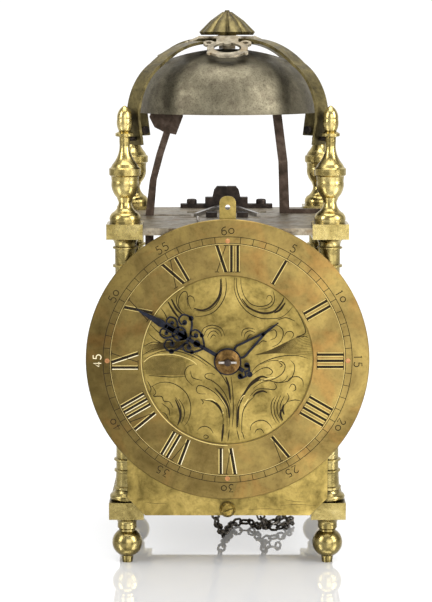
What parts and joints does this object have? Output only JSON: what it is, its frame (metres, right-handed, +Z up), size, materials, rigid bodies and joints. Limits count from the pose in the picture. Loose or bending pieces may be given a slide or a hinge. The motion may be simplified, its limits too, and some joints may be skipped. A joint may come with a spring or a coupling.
{
  "type": "lantern clock",
  "caption": "Brass lantern clock: pillared open frame on ball feet, wide dial with hands, geared going and striking trains, hammer and bell under crossed straps.",
  "frame": {"origin": "on the floor, under the centre of the whole clock's plan", "axes": "+Z up, the dial faces -Y, +X is to the right seen from the front"},
  "size_m": [0.191, 0.1756, 0.3776],
  "materials": {
    "brass": "aged, softly polished",
    "bell_metal": "dark mottled bronze",
    "steel": "dark blue-brown, hand filed",
    "copper": "worn copper"
  },
  "bodies": {
    "frame": {"foot_front_left": "brass", "foot_front_right": "brass", "foot_back_left": "brass", "foot_back_right": "brass", "pillar_front_left": "brass", "pillar_front_right": "brass", "pillar_back_left": "brass", "pillar_back_right": "brass", "finial_front_left": "brass", "finial_front_right": "brass", "finial_back_left": "brass", "finial_back_right": "brass", "top_plate": "brass", "bottom_plate": "brass", "dial_plate": "brass", "chapter_ring": "brass", "ring_rivets": "copper", "dial_screw": "brass", "bell": "bell_metal", "bell_strap_lower": "brass", "bell_strap_upper": "brass", "strap_studs": "steel", "bell_stud": "steel", "crown_ornament": "brass", "top_finial": "brass", "movement_bar_front": "steel", "movement_bar_middle": "steel", "movement_bar_rear": "steel", "hand_pin": "steel", "pallet_cock": "brass", "cock_screws": "steel", "stay_wires": "steel", "fret_pin": "steel", "hammer_spring": "steel", "bell_steady_bar": "steel", "winding_chain": "steel"},
    "minute_motion": {"minute_hand": "steel", "hand_collet": "copper", "minute_wheel": "brass"},
    "hour_motion": {"hour_hand": "steel", "hour_wheel": "brass"},
    "going_great": {"going_great_wheel": "brass", "going_great_arbor": "steel", "going_sprocket": "brass", "report_wheel": "brass"},
    "second": {"second_wheel": "brass", "second_arbor": "steel"},
    "escape": {"escape_wheel": "brass"},
    "pallets": {"pallets": "steel"},
    "strike_great": {"strike_great_wheel": "brass", "strike_great_arbor": "steel", "strike_sprocket": "brass"},
    "hoop": {"hoop_wheel": "brass"},
    "warning": {"warning_wheel": "brass"},
    "fly": {"fly": "brass"},
    "count": {"count_wheel": "brass"},
    "hammer": {"hammer": "steel"},
    "lifting_lever": {"lifting_lever": "steel"},
    "locking_lever": {"locking_lever": "steel"}
  },
  "joints": [
    {"name": "going_great_spin", "type": "hinge", "parent": "frame", "child": "going_great", "pos_m": [0, 0.0066, 0.112], "axis": [0, 1, 0], "continuous": true},
    {"name": "minute_hand_turn", "type": "hinge", "parent": "frame", "child": "minute_motion", "pos_m": [0, 0.0066, 0.1432], "axis": [0, 1, 0], "continuous": true},
    {"name": "hour_hand_turn", "type": "hinge", "parent": "frame", "child": "hour_motion", "pos_m": [0, 0.0066, 0.1432], "axis": [0, 1, 0], "continuous": true},
    {"name": "second_wheel_spin", "type": "hinge", "parent": "frame", "child": "second", "pos_m": [0.008, 0.0066, 0.14505], "axis": [0, 1, 0], "continuous": true},
    {"name": "escape_wheel_spin", "type": "hinge", "parent": "frame", "child": "escape", "pos_m": [0, 0.0066, 0.17224], "axis": [0, 1, 0], "continuous": true},
    {"name": "pallets_rock", "type": "hinge", "parent": "frame", "child": "pallets", "pos_m": [0, 0.0066, 0.20024], "axis": [0, 1, 0], "range_deg": [-2, 2]},
    {"name": "hoop_wheel_spin", "type": "hinge", "parent": "frame", "child": "hoop", "pos_m": [-0.006, 0.0066, 0.14506], "axis": [0, 1, 0], "continuous": true},
    {"name": "strike_great_spin", "type": "hinge", "parent": "frame", "child": "strike_great", "pos_m": [0, 0.0066, 0.112], "axis": [0, 1, 0], "continuous": true},
    {"name": "warning_wheel_spin", "type": "hinge", "parent": "frame", "child": "warning", "pos_m": [0.006, 0.0066, 0.16619], "axis": [0, 1, 0], "continuous": true},
    {"name": "fly_spin", "type": "hinge", "parent": "frame", "child": "fly", "pos_m": [-0.004, 0.0066, 0.18164], "axis": [0, 1, 0], "continuous": true},
    {"name": "count_wheel_spin", "type": "hinge", "parent": "frame", "child": "count", "pos_m": [0, 0.0066, 0.0812], "axis": [0, 1, 0], "continuous": true},
    {"name": "hammer_swing", "type": "hinge", "parent": "frame", "child": "hammer", "pos_m": [-0.0557, 0.0066, 0.112], "axis": [0, 1, 0], "range_deg": [0, 5], "stiffness_Nm_per_rad": 0.05, "springref_deg": -11.46},
    {"name": "lifting_lever_rise", "type": "hinge", "parent": "frame", "child": "lifting_lever", "pos_m": [0.05, 0.0066, 0.112], "axis": [0, 1, 0], "range_deg": [0, 8]},
    {"name": "locking_lever_rise", "type": "hinge", "parent": "frame", "child": "locking_lever", "pos_m": [0.0385, 0.0066, 0.112], "axis": [0, 1, 0], "range_deg": [0, 8]}
  ],
  "couplings": [
    {"joint": "going_great_spin", "follows": "second_wheel_spin", "ratio": -0.13333},
    {"joint": "minute_hand_turn", "follows": "second_wheel_spin", "ratio": 0.13333},
    {"joint": "hour_hand_turn", "follows": "second_wheel_spin", "ratio": 0.011111},
    {"joint": "escape_wheel_spin", "follows": "second_wheel_spin", "ratio": -8},
    {"joint": "strike_great_spin", "follows": "warning_wheel_spin", "ratio": 0.0096154},
    {"joint": "hoop_wheel_spin", "follows": "warning_wheel_spin", "ratio": -0.125},
    {"joint": "fly_spin", "follows": "warning_wheel_spin", "ratio": -6.6667},
    {"joint": "count_wheel_spin", "follows": "warning_wheel_spin", "ratio": -0.0016026}
  ]
}
